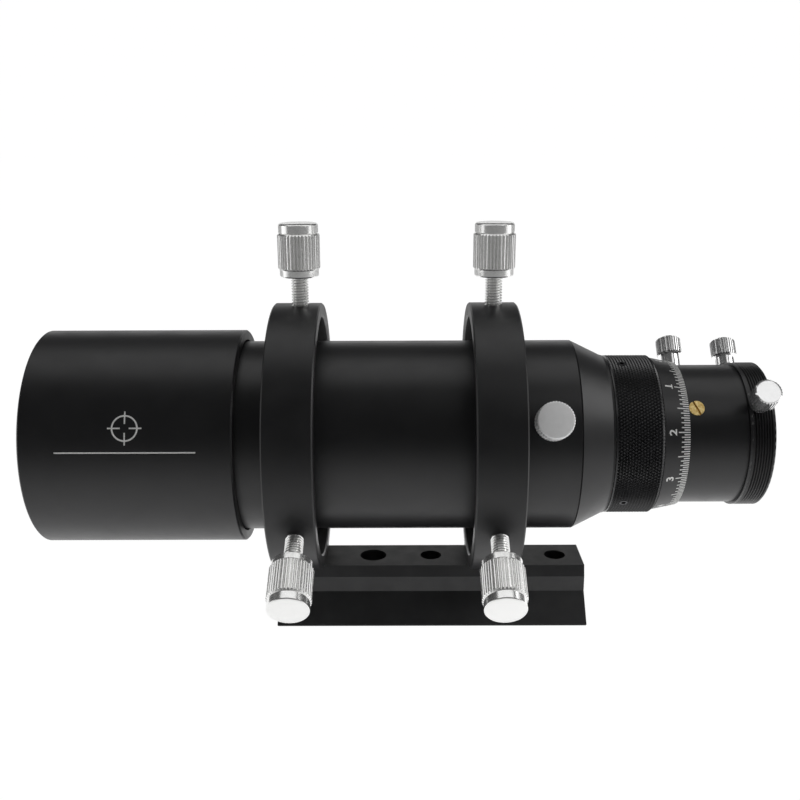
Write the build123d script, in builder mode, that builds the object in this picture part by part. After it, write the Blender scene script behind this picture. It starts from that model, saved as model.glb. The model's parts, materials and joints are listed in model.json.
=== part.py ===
from build123d import *
import math
import os

# A 50 mm finder / guide scope, carried in two adjustable rings on a finder dovetail bar.
# Frame: +X towards the eyepiece, -Y the side with the tube lock knob, +Z up.
# The origin is the centre of the dovetail bar's bottom face. All sizes are in millimetres.

# ---- driving dimensions -------------------------------------------------------------------
tube_z = 55.0             # height of the optical axis
ring_z = 54.7             # height of the rings' centres: the tube sits a little high in them
fit_gap = 0.05            # radial clearance of a running or sliding fit
contact_gap = 0.04        # what is left between a screw's tip and the surface it presses on

# dovetail bar
bar_length = 92.0
bar_foot_half = 15.5      # half width of the foot that the finder shoe grips
bar_foot_lip = 0.3
bar_neck_half = 8.5
bar_neck_bottom = 7.9     # where the foot's flanks meet the neck
bar_neck_top = 12.6
bar_top_half = 7.5
bar_top = 15.9
bar_edge = 0.25
bar_holes = ((-17.7, 4.0), (0.0, 3.2), (38.1, 3.2))   # x and radius of the fastening holes

# rings
ring_outer = 39.3
ring_inner = 35.2
ring_width = 13.7
ring_edge = 0.4
ring_centres = {"front": -38.8, "rear": 17.65}
thumb_centres = {"front": -37.8, "rear": 17.65}    # the front ring's screws are off its middle
foot_height = 3.0
bolt_radius = 2.0         # M4 bolts that hold the rings from below
bolt_head = 3.6
bolt_head_start = 1.5
bolt_head_end = 5.0
bolt_socket = 1.7
bolt_end = 18.9           # inside the rings' walls
bolt_clearance = 0.15

# ring thumbscrews: M5 x 0.8, angles measured from -Y upwards, distances from the nylon tip's dome
thumb_angles = {"top": 90.0, "near": -28.5, "far": 208.5}
thumb_thread = 2.5
thumb_collar_start = 19.5
thumb_collar = 5.55
thumb_grip_start = 21.55
thumb_grip = 6.0
thumb_cap_start = 31.85
thumb_cap = 5.6
thumb_end = 34.45
pad_radius = 1.6          # nylon tips
pad_proud = 1.4
pad_depth = 3.0
pad_dome = 6.0
pad_play = 0.1            # behind the tip, at the bottom of its socket

# main tube, lens cell and dew shield
tube_outer = 27.8
tube_inner = 25.0
tube_front = -80.0
tube_rear = 40.4
cell_outer = 28.0
cell_front = -94.0
cell_pocket = 26.0
lens_radius = 25.9
lens_seat_x = -81.5
clear_aperture = 25.0
shield_outer = 31.1
shield_inner = 28.2
shield_front = -112.1
shield_rear = -54.3
felt_front = -88.0        # felt band that the shield slides on
felt_rear = -82.0
felt_groove = 27.2
press_gap = 0.03          # parts glued or screwed home in the tube

# knife-edge baffles: front face and opening
baffles = {"front_baffle": (-52.0, 21.5), "rear_baffle": (-12.0, 17.5)}
baffle_rim = 5.0
baffle_wall = 1.0
baffle_plate = 1.2

# helical focuser: adapter and inner barrel
spigot_front = 14.4       # the adapter's spigot slides in the tube for coarse focus
spigot_bore = 22.5
cone_rear = 49.6
cone_end = 23.4
hub_outer = 21.9
hub_rear = 58.5
hub_bore_front = 51.5
hub_groove = 21.1         # groove for the focus ring's grub screws
hub_groove_front = 53.5
hub_groove_rear = 55.5
barrel_outer = 18.0
barrel_inner = 16.4
barrel_front = 42.5
barrel_seat = 44.0        # the barrel's flange bears on the adapter here
barrel_flange = 21.5
barrel_rear = 86.3
washer_front = 49.9
washer_rear = 50.3
washer_outer = 23.1

# focus ring
grip_front = 50.35
grip_rear = 64.0
grip_outer = 23.3
helix_front = 59.0        # the short length of the ring that drives the drawtube
helix_rear = 62.0
dial_seat = 21.6
dial_front_radius = 22.6
scale_rear = 71.3
scale_rear_radius = 21.1
grub_x = 54.5
grub_angles = (78.0, -42.0, 198.0)
grub_radius = 1.22
grub_tip = 0.9

# drawtube
helix_gap = 0.06
draw_front = 53.0
draw_outer = 20.3
draw_inner = barrel_outer + fit_gap
collar_front = 88.0
collar_outer = 21.0       # M42 x 0.75 thread
draw_rear = 95.2
eyepiece_bore = 15.95     # takes a 31.75 mm (1.25 inch) eyepiece or camera nose
bore_front = 87.0
clamp_x = 90.5            # compression ring and the two screws that press on it
clamp_groove_half = 1.5
clamp_groove = 17.05
clamp_split = 2.0
guide_x = 73.6
guide_angle = 37.5
guide_shank = 1.5
guide_head = 2.15
guide_head_seat = 19.2
guide_key = 16.7          # inner end of the guide screw, inside the barrel's keyway
focus_travel = 9.0

# lock screws: position, angle, and distances and radii along each one from the tube's axis
lock_screws = {
    "tube_lock": {
        "x": 31.7, "angle": 22.8, "tip": 24.95, "shoulder": 28.6, "head": 31.5, "end": 38.0,
        "head_radius": 5.1, "shoulder_radius": 3.0, "thread": 2.0, "plug": 1.2,
    },
    "focus_lock": {
        "x": 73.8, "angle": 130.0, "tip": barrel_outer, "shoulder": 21.2, "head": 25.7, "end": 31.3,
        "head_radius": 3.75, "shoulder_radius": 2.75, "thread": 1.5, "plug": 0.9,
    },
    "eyepiece_lock_top": {
        "x": clamp_x, "angle": 130.0, "tip": 17.0, "shoulder": 21.9, "head": 25.0, "end": 30.6,
        "head_radius": 3.75, "shoulder_radius": 2.75, "thread": 1.5, "plug": 0.9,
    },
    "eyepiece_lock_near": {
        "x": clamp_x, "angle": 39.0, "tip": 17.0, "shoulder": 21.9, "head": 25.0, "end": 30.6,
        "head_radius": 3.75, "shoulder_radius": 2.75, "thread": 1.5, "plug": 0.9,
    },
}
lock_edge = 0.3
plug_length = 1.6
plug_proud = 0.6

os.makedirs("parts", exist_ok=True)

tube_axis = Axis((0, 0, tube_z), (1, 0, 0))
tube_plane = Plane(origin=(0, 0, tube_z), x_dir=(1, 0, 0), z_dir=(0, -1, 0))


def outward(angle):
    """Unit vector square to the tube, at an angle from -Y upwards."""
    return Vector(0, -math.cos(math.radians(angle)), math.sin(math.radians(angle)))


def screw_plane(x, angle, z):
    """Plane through a radial screw's centre line: x runs outwards, y along the tube."""
    return Plane(origin=(x, 0, z), x_dir=outward(angle), z_dir=outward(angle).cross(Vector(1, 0, 0)))


def seat_plane(x, angle, z, radius):
    """Plane square to a radial screw, at a distance from the tube's axis."""
    return Plane(origin=Vector(x, 0, z) + outward(angle) * radius, x_dir=(1, 0, 0), z_dir=outward(angle))


def outline(plane, points):
    """A closed outline of (distance along an axis, radius) points."""
    with BuildSketch(plane) as drawn:
        with BuildLine():
            Polyline(*points, close=True)
        make_face()
    return drawn.sketch


def save(piece, name):
    """Label a finished piece and write it."""
    piece.part.label = name
    export_step(piece.part, f"parts/{name}.step")


# ---- dovetail bar --------------------------------------------------------------------------
bar_side = [
    (bar_foot_half, 0),
    (bar_foot_half, bar_foot_lip),
    (bar_neck_half, bar_neck_bottom),
    (bar_neck_half, bar_neck_top),
    (bar_top_half, bar_top),
]
with BuildPart() as dovetail_bar:
    with BuildSketch(Plane.YZ.offset(-bar_length / 2)):
        with BuildLine():
            Polyline(*bar_side, *[(-y, z) for y, z in reversed(bar_side)], close=True)
        make_face()
    extrude(amount=bar_length)
    chamfer(dovetail_bar.edges().filter_by(Axis.Y).group_by(Axis.Z)[0], length=bar_edge)
    # three fastening holes between and behind the rings
    for hole_x, hole_radius in bar_holes:
        with BuildSketch(Plane.XY):
            with Locations((hole_x, 0)):
                Circle(hole_radius)
        extrude(amount=bar_top, mode=Mode.SUBTRACT)
    # counterbore and clearance hole for each ring's bolt, from below
    for ring_x in ring_centres.values():
        with BuildSketch(Plane.XY):
            with Locations((ring_x, 0)):
                Circle(bolt_head + fit_gap)
        extrude(amount=bolt_head_end, mode=Mode.SUBTRACT)
        with BuildSketch(Plane.XY):
            with Locations((ring_x, 0)):
                Circle(bolt_radius + bolt_clearance)
        extrude(amount=bar_top, mode=Mode.SUBTRACT)
save(dovetail_bar, "dovetail_bar")

# ---- rings and their bolts -----------------------------------------------------------------
ring_axis = Axis((0, 0, ring_z), (1, 0, 0))
ring_plane = Plane(origin=(0, 0, ring_z), x_dir=(1, 0, 0), z_dir=(0, -1, 0))
for ring_name, ring_x in ring_centres.items():
    front_face = ring_x - ring_width / 2
    rear_face = ring_x + ring_width / 2
    ring_points = [
        (front_face, ring_inner + ring_edge),
        (front_face, ring_outer - ring_edge),
        (front_face + ring_edge, ring_outer),
        (rear_face - ring_edge, ring_outer),
        (rear_face, ring_outer - ring_edge),
        (rear_face, ring_inner + ring_edge),
        (rear_face - ring_edge, ring_inner),
        (front_face + ring_edge, ring_inner),
    ]
    with BuildPart() as ring:
        # flat foot under the ring, as wide as the bar's top land
        with BuildSketch(Plane.XY.offset(bar_top)):
            with Locations((ring_x, 0)):
                Rectangle(ring_width, 2 * bar_top_half)
        extrude(amount=foot_height)
        revolve(outline(ring_plane, ring_points), axis=ring_axis)
        with BuildSketch(Plane.XY.offset(bar_top)):
            with Locations((ring_x, 0)):
                Rectangle(2 * ring_width, ring_outer)
        extrude(amount=-foot_height, mode=Mode.SUBTRACT)
        for angle in thumb_angles.values():
            with BuildSketch(seat_plane(thumb_centres[ring_name], angle, ring_z, ring_inner - 2)):
                Circle(thumb_thread + fit_gap)
            extrude(amount=8.0, mode=Mode.SUBTRACT)
        with BuildSketch(Plane.XY.offset(bar_top)):
            with Locations((ring_x, 0)):
                Circle(bolt_radius + fit_gap)
        extrude(amount=bolt_end - bar_top, mode=Mode.SUBTRACT)
    save(ring, f"{ring_name}_ring")

with BuildPart() as ring_bolts:
    for ring_x in ring_centres.values():
        with BuildSketch(Plane.XY.offset(bolt_head_start)):
            with Locations((ring_x, 0)):
                Circle(bolt_head)
        extrude(amount=bolt_head_end - bolt_head_start)
        with BuildSketch(Plane.XY.offset(bolt_head_end)):
            with Locations((ring_x, 0)):
                Circle(bolt_radius)
        extrude(amount=bolt_end - bolt_head_end)
        # hexagon socket
        with BuildSketch(Plane.XY.offset(bolt_head_start)):
            with Locations((ring_x, 0)):
                RegularPolygon(bolt_socket, 6)
        extrude(amount=2.0, mode=Mode.SUBTRACT)
save(ring_bolts, "ring_bolts")


# ---- thumbscrews with nylon tips -----------------------------------------------------------
def nylon_tip(x, angle, z, reach):
    """Domed nylon plug that a screw pushes ahead of it; reach is the dome's distance."""
    plane = screw_plane(x, angle, z)
    sag = pad_dome - math.sqrt(pad_dome**2 - pad_radius**2)
    with BuildPart() as tip:
        with BuildSketch(plane) as half_section:
            with BuildLine():
                RadiusArc((reach, 0), (reach + sag, pad_radius), pad_dome)
                Polyline(
                    (reach + sag, pad_radius),
                    (reach + pad_proud + pad_depth, pad_radius),
                    (reach + pad_proud + pad_depth, 0),
                    (reach, 0),
                )
            make_face()
        revolve(axis=Axis((x, 0, z), outward(angle)))
    return tip


# where the tube's surface lies on each ring screw's centre line
tube_drop = ring_z - tube_z
thumb_edge = 0.4
for ring_name, screw_x in thumb_centres.items():
    for place, angle in thumb_angles.items():
        # the dome's centre keeps the contact gap from the tube, whichever way the screw comes in
        along = -tube_drop * outward(angle).Z
        across = tube_drop * outward(angle).Y
        centre = along + math.sqrt((tube_outer + contact_gap + pad_dome) ** 2 - across**2)
        reach = centre - pad_dome
        tip = nylon_tip(screw_x, angle, ring_z, reach)
        save(tip, f"{ring_name}_{place}_tip")
        socket_start = reach + pad_proud
        socket_end = socket_start + pad_depth + pad_play
        collar_start = reach + thumb_collar_start
        grip_start = reach + thumb_grip_start
        cap_start = reach + thumb_cap_start
        end = reach + thumb_end
        screw_points = [
            (socket_start, pad_radius + fit_gap),
            (socket_start, thumb_thread - 0.5),
            (socket_start + 0.5, thumb_thread),
            (collar_start, thumb_thread),
            (collar_start, thumb_collar - thumb_edge),
            (collar_start + thumb_edge, thumb_collar),
            (grip_start, thumb_collar),
            (grip_start + thumb_edge, thumb_grip),
            (cap_start - thumb_edge, thumb_grip),
            (cap_start, thumb_cap),
            (end - thumb_edge, thumb_cap),
            (end, thumb_cap - thumb_edge),
            (end, 0),
            (socket_end, 0),
            (socket_end, pad_radius + fit_gap),
        ]
        with BuildPart() as thumbscrew:
            drawn = outline(screw_plane(screw_x, angle, ring_z), screw_points)
            revolve(drawn, axis=Axis((screw_x, 0, ring_z), outward(angle)))
        save(thumbscrew, f"{ring_name}_{place}_thumbscrew")

# ---- lock screws with nylon tips -----------------------------------------------------------
for name, lock in lock_screws.items():
    plane = screw_plane(lock["x"], lock["angle"], tube_z)
    centre_line = Axis((lock["x"], 0, tube_z), outward(lock["angle"]))
    plug = lock["plug"]
    start = lock["tip"] + contact_gap
    plug_end = start + plug_length
    plug_points = [(start, 0), (start + 0.15, plug), (plug_end, plug), (plug_end, 0)]
    with BuildPart() as tip:
        revolve(outline(plane, plug_points), axis=centre_line)
    save(tip, f"{name}_tip")
    head = lock["head"]
    end = lock["end"]
    head_radius = lock["head_radius"]
    lock_points = [
        (start + plug_proud, plug + fit_gap),
        (start + plug_proud, lock["thread"]),
        (lock["shoulder"], lock["thread"]),
        (lock["shoulder"], lock["shoulder_radius"]),
        (head, lock["shoulder_radius"]),
        (head, head_radius - lock_edge),
        (head + lock_edge, head_radius),
        (end - lock_edge, head_radius),
        (end, head_radius - lock_edge),
        (end, 0),
        (plug_end + pad_play, 0),
        (plug_end + pad_play, plug + fit_gap),
    ]
    with BuildPart() as lock_screw:
        revolve(outline(plane, lock_points), axis=centre_line)
    save(lock_screw, f"{name}_screw")

# ---- main tube -----------------------------------------------------------------------------
with BuildPart() as main_tube:
    tube_points = [
        (tube_front, tube_inner),
        (tube_front, tube_outer),
        (tube_rear - 0.2, tube_outer),
        (tube_rear, tube_outer - 0.2),
        (tube_rear, tube_inner),
    ]
    revolve(outline(tube_plane, tube_points), axis=tube_axis)
    lock = lock_screws["tube_lock"]
    with BuildSketch(seat_plane(lock["x"], lock["angle"], tube_z, tube_inner - 3)):
        Circle(lock["thread"] + fit_gap)
    extrude(amount=8.0, mode=Mode.SUBTRACT)
save(main_tube, "main_tube")

# ---- lens cell, doublet and their retaining ring --------------------------------------------
with BuildPart() as lens_cell:
    cell_points = [
        (tube_front + 6, tube_inner - 1.1),
        (tube_front + 6, tube_inner - press_gap),
        (tube_front, tube_inner - press_gap),
        (tube_front, cell_outer),
        (felt_rear, cell_outer),
        (felt_rear, felt_groove),
        (felt_front, felt_groove),
        (felt_front, cell_outer),
        (cell_front + 0.3, cell_outer),
        (cell_front, cell_outer - 0.3),
        (cell_front, cell_pocket),
        (lens_seat_x, cell_pocket),
        (lens_seat_x, clear_aperture),
        (tube_front, tube_inner - 1.1),
    ]
    revolve(outline(tube_plane, cell_points), axis=tube_axis)
save(lens_cell, "lens_cell")

front_curve = 115.0
inner_curve = 85.0
front_sag = front_curve - math.sqrt(front_curve**2 - lens_radius**2)
inner_sag = inner_curve - math.sqrt(inner_curve**2 - lens_radius**2)
flint_centre = 2.0
cement_film = 0.05
crown_rim = 1.5
flint_rim_x = lens_seat_x - flint_centre - inner_sag
crown_rear_x = flint_rim_x - cement_film
crown_front_x = crown_rear_x - crown_rim

half_radius = lens_radius / 2
inner_half_sag = inner_curve - math.sqrt(inner_curve**2 - half_radius**2)
front_half_sag = front_curve - math.sqrt(front_curve**2 - half_radius**2)
flint_vertex = lens_seat_x - flint_centre
rear_vertex = crown_rear_x + inner_sag
front_vertex = crown_front_x - front_sag

with BuildPart() as flint_lens:
    with BuildSketch(tube_plane):
        with BuildLine():
            Polyline(
                (flint_vertex, 0),
                (lens_seat_x, 0),
                (lens_seat_x, lens_radius),
                (flint_rim_x, lens_radius),
            )
            ThreePointArc(
                (flint_rim_x, lens_radius),
                (flint_vertex - inner_half_sag, half_radius),
                (flint_vertex, 0),
            )
        make_face()
    revolve(axis=tube_axis)
save(flint_lens, "flint_lens")

with BuildPart() as crown_lens:
    with BuildSketch(tube_plane):
        with BuildLine():
            Line((front_vertex, 0), (rear_vertex, 0))
            ThreePointArc(
                (rear_vertex, 0),
                (rear_vertex - inner_half_sag, half_radius),
                (crown_rear_x, lens_radius),
            )
            Line((crown_rear_x, lens_radius), (crown_front_x, lens_radius))
            ThreePointArc(
                (crown_front_x, lens_radius),
                (front_vertex + front_half_sag, half_radius),
                (front_vertex, 0),
            )
        make_face()
    revolve(axis=tube_axis)
save(crown_lens, "crown_lens")

with BuildPart() as lens_retaining_ring:
    rest_x = crown_front_x - 0.3
    retaining_front = rest_x - 2.2
    retaining_points = [
        (rest_x, clear_aperture),
        (rest_x, cell_pocket - press_gap),
        (retaining_front, cell_pocket - press_gap),
        (retaining_front, clear_aperture + 0.3),
    ]
    revolve(outline(tube_plane, retaining_points), axis=tube_axis)
    # two notches for a pin spanner
    for side in (1, -1):
        with BuildSketch(Plane.YZ.offset(retaining_front)):
            with Locations((side * 25.5, tube_z)):
                Rectangle(1.4, 1.6)
        extrude(amount=1.0, mode=Mode.SUBTRACT)
save(lens_retaining_ring, "lens_retaining_ring")

with BuildPart() as shield_felt_band:
    felt_points = [
        (felt_front + 0.1, felt_groove + fit_gap),
        (felt_front + 0.1, shield_inner - 0.08),
        (felt_rear - 0.1, shield_inner - 0.08),
        (felt_rear - 0.1, felt_groove + fit_gap),
    ]
    revolve(outline(tube_plane, felt_points), axis=tube_axis)
save(shield_felt_band, "shield_felt_band")

# ---- dew shield -----------------------------------------------------------------------------
with BuildPart() as dew_shield:
    shield_edge = 0.4
    shield_points = [
        (shield_front, shield_inner + 0.5),
        (shield_front, shield_outer - shield_edge),
        (shield_front + shield_edge, shield_outer),
        (shield_rear - shield_edge, shield_outer),
        (shield_rear, shield_outer - shield_edge),
        (shield_rear, shield_inner + 0.2),
        (shield_rear - 0.2, shield_inner),
        (shield_front + 0.5, shield_inner),
    ]
    revolve(outline(tube_plane, shield_points), axis=tube_axis)
save(dew_shield, "dew_shield")

# ---- knife-edge baffles inside the tube ------------------------------------------------------
for baffle_name, (baffle_x, opening) in baffles.items():
    with BuildPart() as baffle:
        baffle_points = [
            (baffle_x, opening),
            (baffle_x, tube_inner - press_gap),
            (baffle_x + baffle_rim, tube_inner - press_gap),
            (baffle_x + baffle_rim, tube_inner - baffle_wall),
            (baffle_x + baffle_plate, tube_inner - baffle_wall),
            (baffle_x + baffle_plate, opening + 1.0),
        ]
        revolve(outline(tube_plane, baffle_points), axis=tube_axis)
    save(baffle, baffle_name)

# ---- focuser body: adapter, inner barrel and washer ------------------------------------------
with BuildPart() as focuser_adapter:
    adapter_points = [
        (spigot_front, spigot_bore),
        (spigot_front, tube_inner - fit_gap - 0.3),
        (spigot_front + 0.3, tube_inner - fit_gap),
        (tube_rear, tube_inner - fit_gap),
        (tube_rear, tube_outer - 0.2),
        (tube_rear + 0.2, tube_outer),
        (cone_rear, cone_end),
        (cone_rear + 0.3, cone_end),
        (cone_rear + 0.3, hub_outer),
        (hub_groove_front, hub_outer),
        (hub_groove_front, hub_groove),
        (hub_groove_rear, hub_groove),
        (hub_groove_rear, hub_outer),
        (hub_rear, hub_outer),
        (hub_rear, draw_outer + helix_gap),
        (hub_bore_front, draw_outer + helix_gap),
        (hub_bore_front, barrel_outer + press_gap),
        (barrel_seat, barrel_outer + press_gap),
        (barrel_seat, spigot_bore),
    ]
    revolve(outline(tube_plane, adapter_points), axis=tube_axis)
save(focuser_adapter, "focuser_adapter")

with BuildPart() as inner_barrel:
    barrel_points = [
        (barrel_front, barrel_inner),
        (barrel_front, barrel_flange),
        (barrel_seat, barrel_flange),
        (barrel_seat, barrel_outer),
        (barrel_rear, barrel_outer),
        (barrel_rear, barrel_inner),
    ]
    revolve(outline(tube_plane, barrel_points), axis=tube_axis)
    # straight keyway that stops the drawtube turning and limits its travel
    slot_width = 2 * guide_shank + 0.2
    with BuildSketch(seat_plane(guide_x + focus_travel / 2, guide_angle, tube_z, barrel_inner - 2)):
        SlotOverall(focus_travel + slot_width + 0.2, slot_width)
    extrude(amount=6.0, mode=Mode.SUBTRACT)
save(inner_barrel, "inner_barrel")

with BuildPart() as focus_washer:
    washer_points = [
        (washer_front, hub_outer + 0.08),
        (washer_front, washer_outer),
        (washer_rear, washer_outer),
        (washer_rear, hub_outer + 0.08),
    ]
    revolve(outline(tube_plane, washer_points), axis=tube_axis)
save(focus_washer, "focus_washer")

# ---- focus ring: knurled grip, scale and grub screws -----------------------------------------
with BuildPart() as knurled_ring:
    grip_points = [
        (grip_front, hub_outer + fit_gap),
        (grip_front, grip_outer),
        (grip_rear - 0.8, grip_outer),
        (grip_rear, grip_outer - 0.7),
        (grip_rear, dial_seat),
        (helix_rear, dial_seat),
        (helix_rear, draw_outer + helix_gap),
        (helix_front, draw_outer + helix_gap),
        (helix_front, hub_outer + fit_gap),
    ]
    revolve(outline(tube_plane, grip_points), axis=tube_axis)
    for angle in grub_angles:
        with BuildSketch(seat_plane(grub_x, angle, tube_z, hub_outer - 1)):
            Circle(grub_radius + press_gap)
        extrude(amount=4.0, mode=Mode.SUBTRACT)
save(knurled_ring, "knurled_focus_ring")

with BuildPart() as scale_ring:
    scale_points = [
        (helix_rear + fit_gap, draw_outer + helix_gap),
        (helix_rear + fit_gap, dial_seat - press_gap),
        (grip_rear, dial_seat - press_gap),
        (grip_rear, dial_front_radius),
        (scale_rear, scale_rear_radius),
        (scale_rear, draw_outer + helix_gap),
    ]
    revolve(outline(tube_plane, scale_points), axis=tube_axis)
save(scale_ring, "scale_ring")

with BuildPart() as grub_screws:
    # each has a dog point that stands in the hub's groove, and a hexagon socket
    for angle in grub_angles:
        with BuildSketch(seat_plane(grub_x, angle, tube_z, hub_groove + 0.1)):
            Circle(grub_tip)
        extrude(amount=0.9)
        with BuildSketch(seat_plane(grub_x, angle, tube_z, hub_outer + 0.1)):
            Circle(grub_radius)
        extrude(amount=1.05)
        with BuildSketch(seat_plane(grub_x, angle, tube_z, hub_outer + 0.45)):
            RegularPolygon(0.7, 6)
        extrude(amount=0.8, mode=Mode.SUBTRACT)
save(grub_screws, "grub_screws")

# ---- drawtube with its guide screw and compression ring ---------------------------------------
with BuildPart() as drawtube:
    draw_points = [
        (draw_front, draw_inner),
        (draw_front, draw_outer),
        (collar_front, draw_outer),
        (collar_front, collar_outer),
        (draw_rear - 0.5, collar_outer),
        (draw_rear, collar_outer - 0.5),
        (draw_rear, eyepiece_bore + 0.4),
        (draw_rear - 0.4, eyepiece_bore),
        (clamp_x + clamp_groove_half, eyepiece_bore),
        (clamp_x + clamp_groove_half, clamp_groove),
        (clamp_x - clamp_groove_half, clamp_groove),
        (clamp_x - clamp_groove_half, eyepiece_bore),
        (bore_front, eyepiece_bore),
        (bore_front, draw_inner),
    ]
    revolve(outline(tube_plane, draw_points), axis=tube_axis)
    for name in ("focus_lock", "eyepiece_lock_top", "eyepiece_lock_near"):
        lock = lock_screws[name]
        with BuildSketch(seat_plane(lock["x"], lock["angle"], tube_z, barrel_inner)):
            Circle(lock["thread"] + fit_gap)
        extrude(amount=6.0, mode=Mode.SUBTRACT)
    with BuildSketch(seat_plane(guide_x, guide_angle, tube_z, barrel_inner)):
        Circle(guide_shank)
    extrude(amount=6.0, mode=Mode.SUBTRACT)
    with BuildSketch(seat_plane(guide_x, guide_angle, tube_z, guide_head_seat)):
        Circle(guide_head + fit_gap)
    extrude(amount=3.0, mode=Mode.SUBTRACT)
save(drawtube, "drawtube")

with BuildPart() as guide_screw:
    with BuildSketch(seat_plane(guide_x, guide_angle, tube_z, guide_key)):
        Circle(guide_shank - 0.02)
    extrude(amount=guide_head_seat - guide_key + 0.1)
    with BuildSketch(seat_plane(guide_x, guide_angle, tube_z, guide_head_seat)):
        Circle(guide_head)
    extrude(amount=1.25)
    with BuildSketch(seat_plane(guide_x, guide_angle, tube_z, guide_head_seat + 0.65)):
        Rectangle(0.6, 5.0, rotation=25)
    extrude(amount=1.0, mode=Mode.SUBTRACT)
save(guide_screw, "guide_screw")

with BuildPart() as compression_ring:
    clamp_half = clamp_groove_half - 0.2
    compression_points = [
        (clamp_x - clamp_half, eyepiece_bore + 0.1),
        (clamp_x - clamp_half, clamp_groove - fit_gap),
        (clamp_x + clamp_half, clamp_groove - fit_gap),
        (clamp_x + clamp_half, eyepiece_bore + 0.1),
    ]
    revolve(outline(tube_plane, compression_points), axis=tube_axis)
    # the split that lets it close on the eyepiece
    with BuildSketch(seat_plane(clamp_x, 265.0, tube_z, eyepiece_bore - 1)):
        Rectangle(2 * clamp_groove_half + 1, clamp_split)
    extrude(amount=3.0, mode=Mode.SUBTRACT)
save(compression_ring, "compression_ring")
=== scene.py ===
import json
import math
import bmesh
import bpy
from mathutils import Matrix, Vector


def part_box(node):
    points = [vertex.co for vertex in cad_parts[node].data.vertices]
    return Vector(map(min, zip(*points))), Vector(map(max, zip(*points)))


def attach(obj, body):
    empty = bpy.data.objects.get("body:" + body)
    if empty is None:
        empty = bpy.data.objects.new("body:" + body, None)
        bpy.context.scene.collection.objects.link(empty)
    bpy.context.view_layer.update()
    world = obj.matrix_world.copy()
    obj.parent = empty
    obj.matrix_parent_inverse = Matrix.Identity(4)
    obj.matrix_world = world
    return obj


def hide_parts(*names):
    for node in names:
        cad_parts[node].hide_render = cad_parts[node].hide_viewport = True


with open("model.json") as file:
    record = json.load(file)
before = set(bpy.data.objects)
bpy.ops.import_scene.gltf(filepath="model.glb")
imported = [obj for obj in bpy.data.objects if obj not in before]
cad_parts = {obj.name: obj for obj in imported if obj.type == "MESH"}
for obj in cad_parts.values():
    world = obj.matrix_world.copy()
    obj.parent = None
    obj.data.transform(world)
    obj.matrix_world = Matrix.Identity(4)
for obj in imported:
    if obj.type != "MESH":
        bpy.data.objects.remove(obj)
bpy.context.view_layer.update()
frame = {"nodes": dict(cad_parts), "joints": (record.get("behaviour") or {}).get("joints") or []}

# Shapes are in millimetres and MM takes them to metres. The stage, lamps and joint places are in
# metres. Frame: +X towards the eyepiece, -Y the camera's side, +Z up.
MM = 0.001

nodes = frame["nodes"]
joints = {joint["name"]: joint for joint in frame["joints"]}


def extent(node):
    """Lowest and highest corner of a CAD node, in millimetres."""
    low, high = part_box(node)
    return low / MM, high / MM


tube_low, tube_high = extent("main_tube")
tube_z = (tube_low.z + tube_high.z) / 2

# ---- forms: (vertices, faces) in millimetres ---------------------------------------------------


def joined(*forms):
    """One form out of several."""
    vertices = []
    faces = []
    for form_vertices, form_faces in forms:
        start = len(vertices)
        vertices += form_vertices
        faces += [[start + corner for corner in face] for face in form_faces]
    return vertices, faces


def turned(columns, outline_at, closed=False):
    """A turned form about Z. outline_at(turn) lists (height, radius) points, rising on the outside,
    for each share of a turn. A closed outline makes a ring; an open one gets a flat cap at each
    end."""
    vertices = []
    for column in range(columns):
        angle = 2 * math.pi * column / columns
        points = outline_at(column / columns)
        vertices += [(r * math.cos(angle), r * math.sin(angle), height) for height, r in points]
    count = len(points)
    faces = []
    for column in range(columns):
        here = column * count
        there = (column + 1) % columns * count
        for k in range(count if closed else count - 1):
            after = (k + 1) % count
            faces.append([here + k, there + k, there + after, here + after])
    if not closed:
        faces.append([column * count for column in reversed(range(columns))])
        faces.append([column * count + count - 1 for column in range(columns)])
    return vertices, faces


# a thread's profile: share of its pitch, and share of its depth that stands there
THREAD_SHAPE = ((0.0, 0.0), (0.14, 0.0), (0.5, 1.0), (0.64, 1.0), (1.0, 0.0))
THREAD_RUNOUT = 0.6         # share of the pitch over which the grooves run out at each end


def thread_rise(phase):
    """Share of the thread's depth that stands at a share of the pitch."""
    for (start, low), (end, high) in zip(THREAD_SHAPE, THREAD_SHAPE[1:]):
        if phase <= end:
            return low + (high - low) * (phase - start) / (end - start)
    return 0.0


def thread(low, high, root, crest, pitch, columns):
    """The skin of a right-hand thread about Z. Its grid follows the helix, and the grooves run out
    to the crest's radius at both ends."""
    phases = [start for start, _ in THREAD_SHAPE[:-1]]
    per_turn = len(phases)
    rows = (math.ceil((high - low) / pitch) + 1) * per_turn + 1
    runout = THREAD_RUNOUT * pitch
    vertices = []
    for column in range(columns):
        share = column / columns
        angle = 2 * math.pi * share
        for row in range(rows):
            raw = low + (row // per_turn - 1 + phases[row % per_turn] + share) * pitch
            height = min(max(raw, low), high)
            rise = thread_rise(((height - low) / pitch - share) % 1.0)
            fade = min(1.0, (height - low) / runout, (high - height) / runout)
            radius = crest - (crest - root) * (1 - rise) * fade
            vertices.append((radius * math.cos(angle), radius * math.sin(angle), height))
    faces = []
    for column in range(columns):
        last = column == columns - 1
        shift = per_turn if last else 0
        here = column * rows
        there = 0 if last else here + rows
        for row in range(rows - 1 - shift):
            faces.append([here + row, there + row + shift, there + row + shift + 1, here + row + 1])
    return vertices, faces


WELD = 1e-7                 # metres: corners closer than this are one
SLIVER = 1e-8               # metres: edges shorter than this are dropped


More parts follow.
